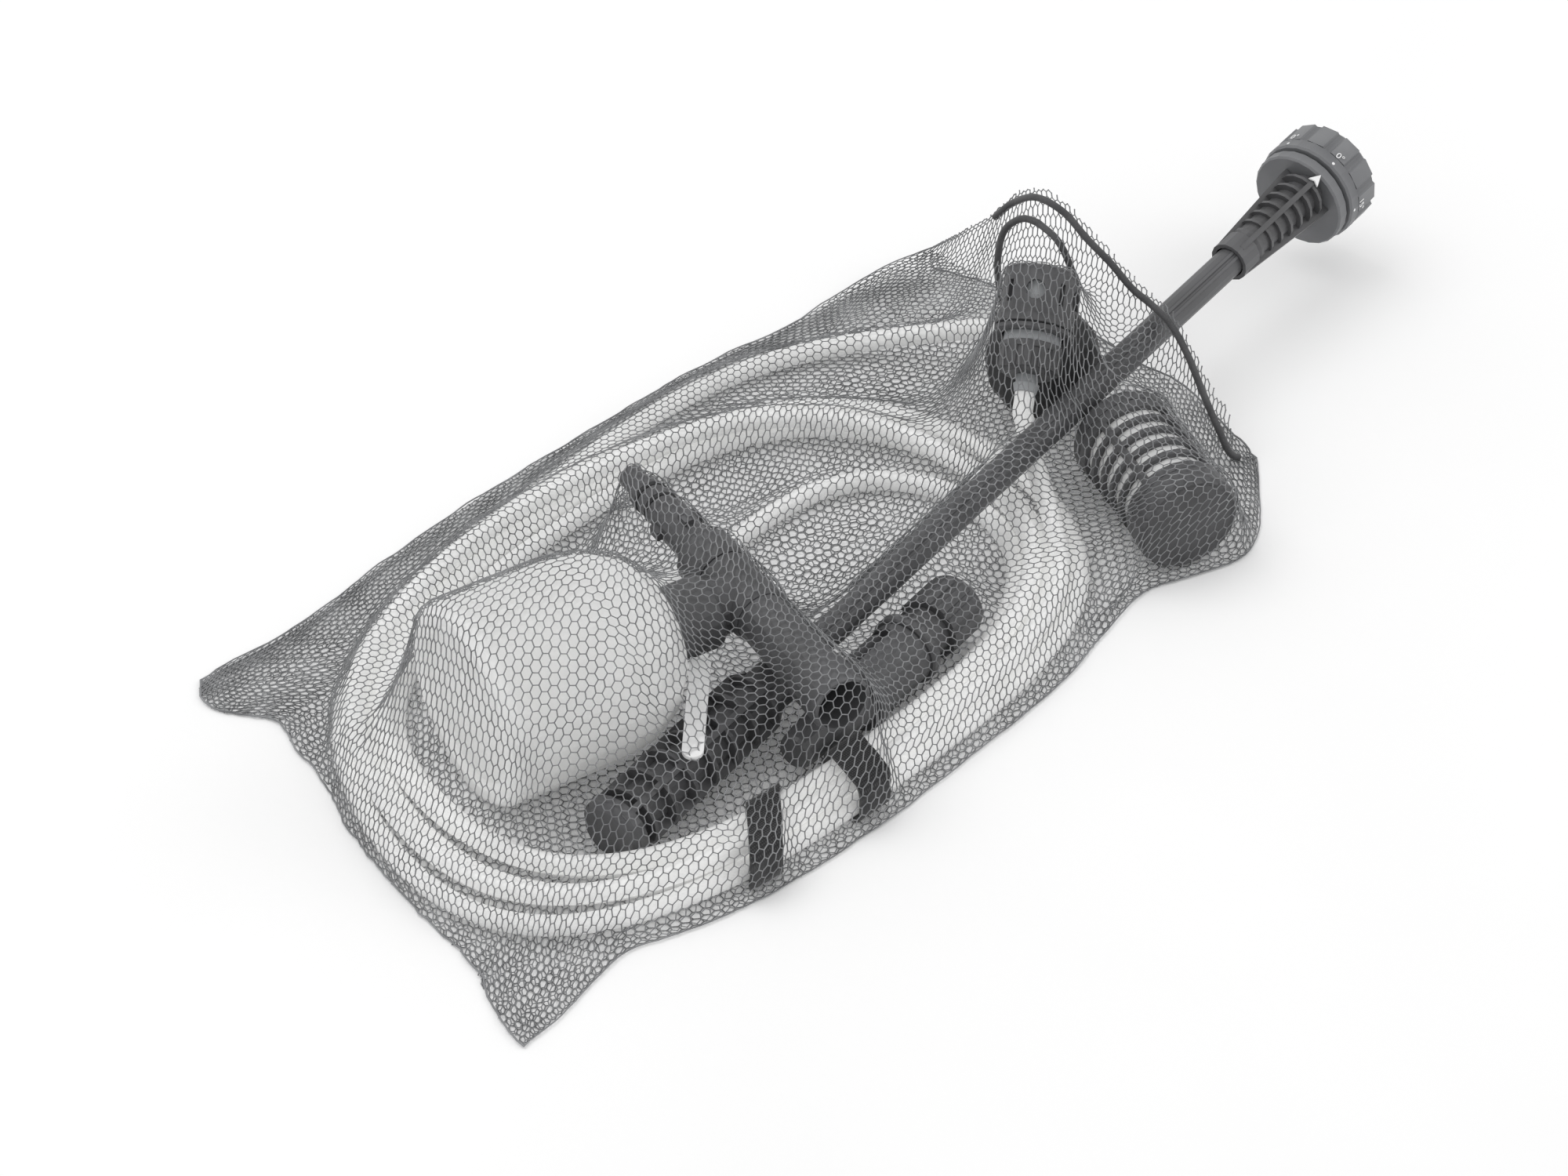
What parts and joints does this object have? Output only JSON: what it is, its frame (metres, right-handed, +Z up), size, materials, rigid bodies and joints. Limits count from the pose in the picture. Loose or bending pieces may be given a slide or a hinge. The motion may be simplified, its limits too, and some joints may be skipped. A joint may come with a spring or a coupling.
{
  "type": "mesh bag with pressure cleaner accessories",
  "caption": "Drawstring mesh bag holding pressure-cleaner accessories: lance with turning selector, foam bottle, coiled suction hose with float and strainer, coupling and adapter.",
  "frame": {"origin": "on the ground, under the middle of the bag and lance", "axes": "+X from the closed end of the bag to its mouth, +Z up"},
  "size_m": [0.6992, 0.3014, 0.1034],
  "materials": {
    "netting": "matte knitted polyester mesh",
    "webbing": "matte woven tape and cord",
    "clear_hose": "milky translucent PVC, semi-gloss",
    "black_rubber": "matte",
    "dark_plastic": "fine moulded texture",
    "grey_plastic": "satin",
    "white_plastic": "satin"
  },
  "bodies": {
    "bag_and_contents": {"bag_bottom_panel": "netting", "bag_top_panel": "netting", "drawstring": "webbing", "drawstring_loop": "webbing", "hose_coil": "clear_hose", "hose_strainer_end": "clear_hose", "hose_float_end": "clear_hose", "hose_coupling_end": "clear_hose", "hose_inner_turn": "clear_hose", "near_strap": "webbing", "far_strap": "webbing", "strainer_neck": "dark_plastic", "strainer_cage": "dark_plastic", "strainer_sleeve": "white_plastic", "coupling_tail": "grey_plastic", "coupling_seal": "black_rubber", "lance_barrel": "dark_plastic", "lance_tube": "dark_plastic", "lance_cone": "dark_plastic", "lance_flange": "dark_plastic", "turret_spindle": "grey_plastic", "selector_pointer": "white_plastic", "foam_inlet": "dark_plastic", "inlet_o_ring_1": "black_rubber", "inlet_o_ring_2": "black_rubber", "foam_collar": "dark_plastic", "foam_tee": "dark_plastic", "foam_barrel": "dark_plastic", "bottle_cap": "dark_plastic", "dip_tube": "white_plastic", "bottle_tab": "white_plastic", "adapter_tail": "dark_plastic", "adapter_flange": "dark_plastic", "adapter_body": "dark_plastic", "adapter_ring": "black_rubber", "adapter_neck": "dark_plastic"},
    "selector": {"selector_turret": "dark_plastic"},
    "strainer_cap": {"strainer_end_cap": "dark_plastic"},
    "release_sleeve": {"coupling_sleeve": "dark_plastic"},
    "union_nut": {"coupling_union_nut": "dark_plastic"},
    "swivel_nut": {"adapter_nut": "dark_plastic"},
    "detergent_bottle": {"bottle": "white_plastic"},
    "outlet_ring": {"foam_outlet_ring": "dark_plastic"},
    "hose_float": {"float": "black_rubber"}
  },
  "joints": [
    {"name": "selector_turn", "type": "hinge", "parent": "bag_and_contents", "child": "selector", "pos_m": [0.31456, -0.01439, 0.04652], "axis": [0.9919, 0.1078, 0.0675], "continuous": true},
    {"name": "strainer_cap_twist", "type": "hinge", "parent": "bag_and_contents", "child": "strainer_cap", "pos_m": [0.13645, -0.04561, 0.0276], "axis": [-0.3843, -0.9232, 0], "range_deg": [0, 45]},
    {"name": "sleeve_release", "type": "slide", "parent": "bag_and_contents", "child": "release_sleeve", "axis": [-0.6574, -0.4384, -0.6129], "range_m": [0, 0.004], "stiffness_N_per_m": 500},
    {"name": "union_nut_turn", "type": "hinge", "parent": "bag_and_contents", "child": "union_nut", "pos_m": [0.09945, -0.02481, 0.051], "axis": [0.6574, 0.4384, 0.6129], "continuous": true},
    {"name": "swivel_nut_turn", "type": "hinge", "parent": "bag_and_contents", "child": "swivel_nut", "pos_m": [-0.14185, -0.10231, 0.0193], "axis": [0.989, 0.1478, 0], "continuous": true},
    {"name": "bottle_unscrew", "type": "hinge", "parent": "bag_and_contents", "child": "detergent_bottle", "pos_m": [-0.25055, 0.00269, 0.0508], "axis": [0.9657, -0.2588, 0.0209], "range_deg": [0, 360]},
    {"name": "outlet_twist", "type": "hinge", "parent": "bag_and_contents", "child": "outlet_ring", "pos_m": [-0.08036, 0.06579, 0.0539], "axis": [-0.2588, -0.9659, 0], "range_deg": [-45, 45]},
    {"name": "float_spin", "type": "hinge", "parent": "bag_and_contents", "child": "hose_float", "pos_m": [0.14445, 0.00339, 0.0303], "axis": [-0.0349, -0.9994, 0], "continuous": true}
  ]
}
